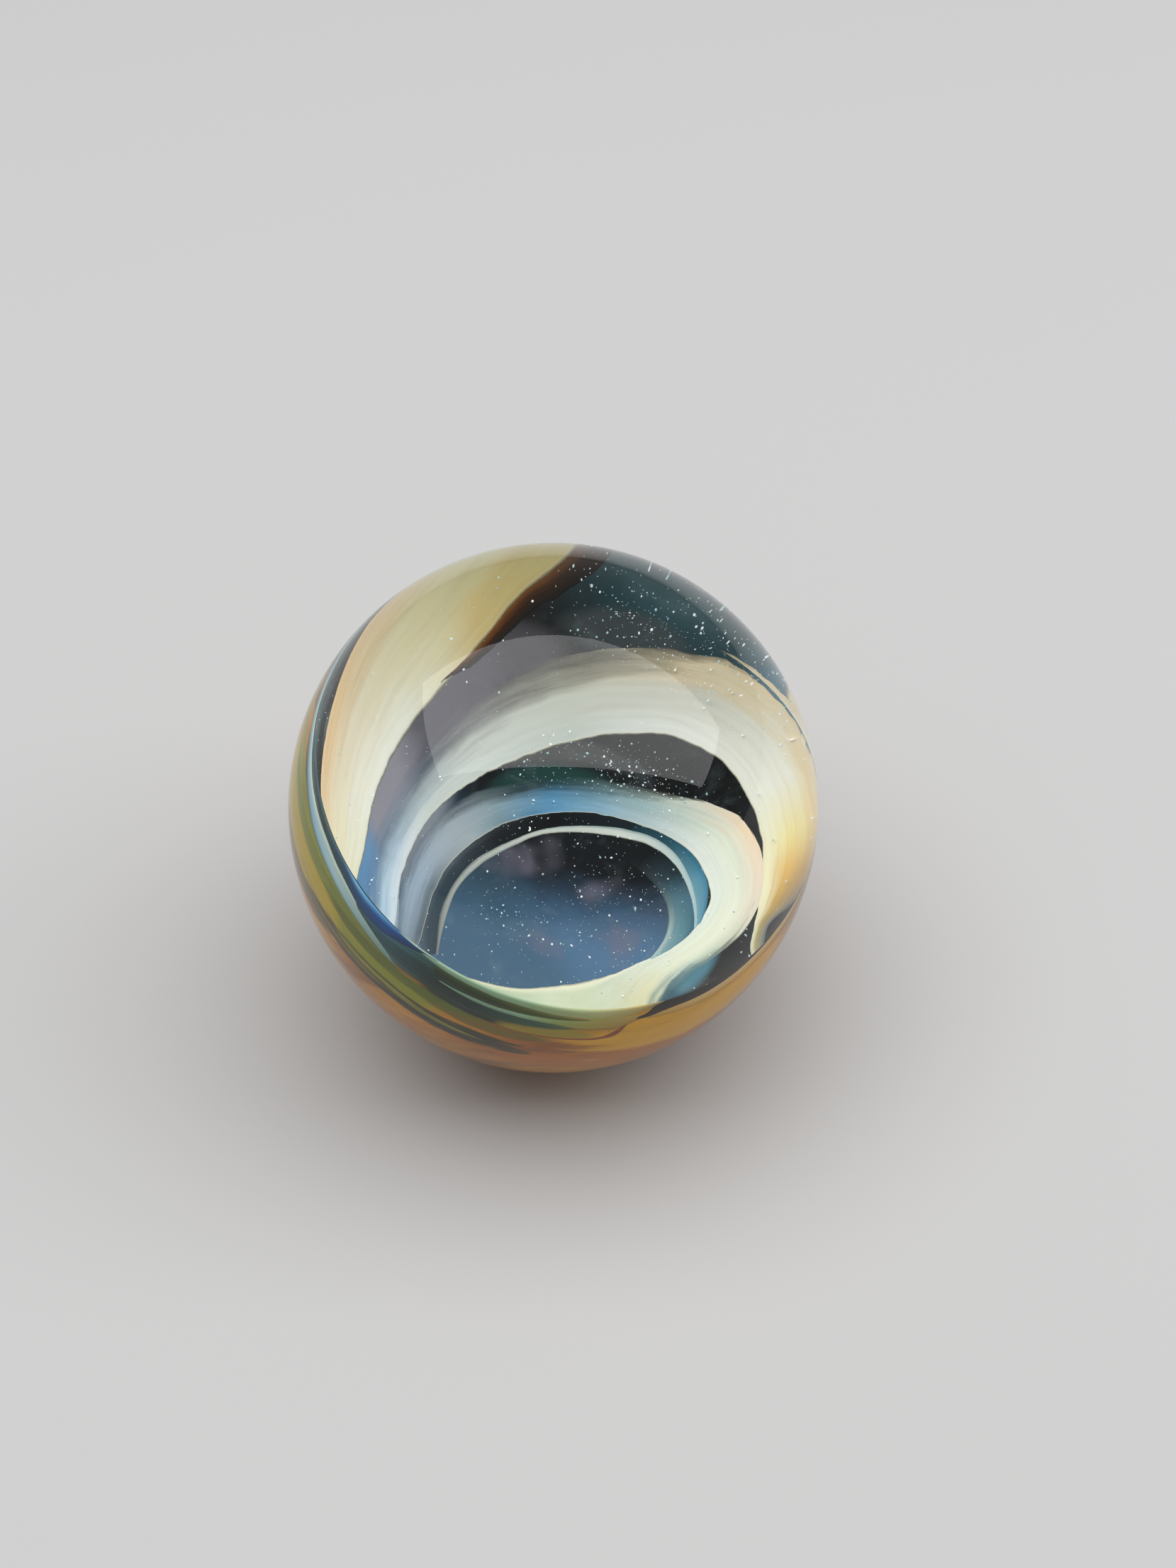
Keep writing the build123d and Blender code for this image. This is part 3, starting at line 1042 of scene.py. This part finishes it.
dust_tree = make_dust_tree()
print("dust tree:", len(dust_tree.nodes.nodes), "nodes")


# %% Silver dust
def make_silver_with_painted_glint():
    material, tree = new_finish("silver_dust")
    spot = tree.node("ShaderNodeTexCoord", output="Object")
    grain = noise(tree, spot, 900.0, 2.0)
    colour = tree.blend(grain.fade(0.4, 0.62), rgba("#9fc3cc"), rgba("#ffffff"))
    # painted glint: the flakes glow faintly in their own colour, so they sparkle without catching
    # a lamp
    close(tree, tree.node("ShaderNodeBsdfPrincipled", {}, {
        "Base Color": colour, "Roughness": 0.4, "Emission Color": colour,
        "Emission Strength": 0.25}))
    return material


settle("silver_dust", dust_tree, {
    "Density": 1500.0, "Smallest": 0.0009, "Largest": 0.0040, "Depth": 0.06, "Seed": 5,
    "Finish": make_silver_with_painted_glint()})

# %% [markdown]
# ## Clear glass
# The ball is clear borosilicate glass, polished by the flame. Rays from a lamp that are bent by
# glass come out as bright speckle, so rays from lamps and from the coloured glass pass
# straight through, and only the view is bent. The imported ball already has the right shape, so
# it stays as it is and only gets this finish.


# %% Clear glass finish
def make_clear():
    material, tree = new_finish("clear_glass")
    glass = tree.node("ShaderNodeBsdfPrincipled", {}, {
        "Base Color": (1.0, 1.0, 1.0, 1.0), "Roughness": 0.0, "IOR": 1.47,
        "Transmission Weight": 1.0})
    through = tree.node("ShaderNodeBsdfTransparent")
    shadow = tree.node("ShaderNodeLightPath", output="Is Shadow Ray")
    straight = shadow.at_least(shadow.other("Is Diffuse Ray"))
    close(tree, tree.node("ShaderNodeMixShader", {}, {0: straight, 1: glass, 2: through}))
    return material


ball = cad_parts["glass_marble"]
ball.data.materials.clear()
ball.data.materials.append(make_clear())
print("clear glass on", ball.name)

# %% [markdown]
# ## Stage
# The ball rests on a pale floor under one large soft panel, which also shows in the glass as a
# pale sheen. Several small lamps would each leave a hard bright dot in the glass. The world
# adds a little even light, so that no side is black.


# %% Floor
def stage_plane(name, size, height):
    mesh = bpy.data.meshes.new(name)
    sheet = bmesh.new()
    bmesh.ops.create_grid(sheet, x_segments=1, y_segments=1, size=size,
                          matrix=Matrix.Translation((0, 0, height)))
    sheet.to_mesh(mesh)
    sheet.free()
    piece = bpy.data.objects.new(name, mesh)
    bpy.context.scene.collection.objects.link(piece)
    return piece


floor = stage_plane("floor", 120 * ball_radius, -ball_radius)
paper, tree = new_finish("floor")
close(tree, tree.node("ShaderNodeBsdfPrincipled", {}, {
    "Base Color": (0.55, 0.55, 0.55, 1.0), "Roughness": 0.9, "Specular IOR Level": 0.0}))
floor.data.materials.append(paper)
print("floor:", floor.dimensions.x, "m wide")

# %% Light
panel_height = 30 * ball_radius
panel_radiance = 2.15
panel = bpy.data.lights.new("panel", "AREA")
panel.shape = "RECTANGLE"
panel.size = 3.6 * panel_height
panel.size_y = 1.15 * panel_height
panel.energy = panel_radiance * math.pi * panel.size * panel.size_y
panel_object = bpy.data.objects.new("panel", panel)
panel_object.location = (0.6 * panel_height, 0.045 * panel_height, panel_height)
panel_object.visible_camera = False
bpy.context.scene.collection.objects.link(panel_object)

world = bpy.data.worlds.new("room")
world.use_nodes = True
background = world.node_tree.nodes["Background"].inputs
background["Color"].default_value = (1.0, 1.0, 1.0, 1.0)
background["Strength"].default_value = 0.22
bpy.context.scene.world = world
print(f"panel: {panel.energy:.2f} W")

# %% [markdown]
# ## Camera
# The camera looks down at the ball from the front, at 45 degrees, and a little to one side of
# its centre. A place and three directions fix it, with nothing left to an aiming constraint.

# %% Camera
elevation = math.radians(45)
right = Vector((1, 0, 0))
toward = Vector((0, -math.cos(elevation), math.sin(elevation)))
up = toward.cross(right)
eye = (right * 0.130 + up * 0.089 + toward * 9.07) * ball_radius
lens = bpy.data.cameras.new("camera")
lens.sensor_fit = "VERTICAL"
lens.angle = math.radians(36.3)
lens.clip_start = 0.01
camera = bpy.data.objects.new("camera", lens)
camera.matrix_world = Matrix.Translation(eye) @ Matrix((right, up, toward)).transposed().to_4x4()
bpy.context.scene.collection.objects.link(camera)
bpy.context.scene.camera = camera
bpy.context.scene.view_settings.view_transform = "Standard"
print(f"camera: {1000 * eye.length:.0f} mm from the ball's centre")
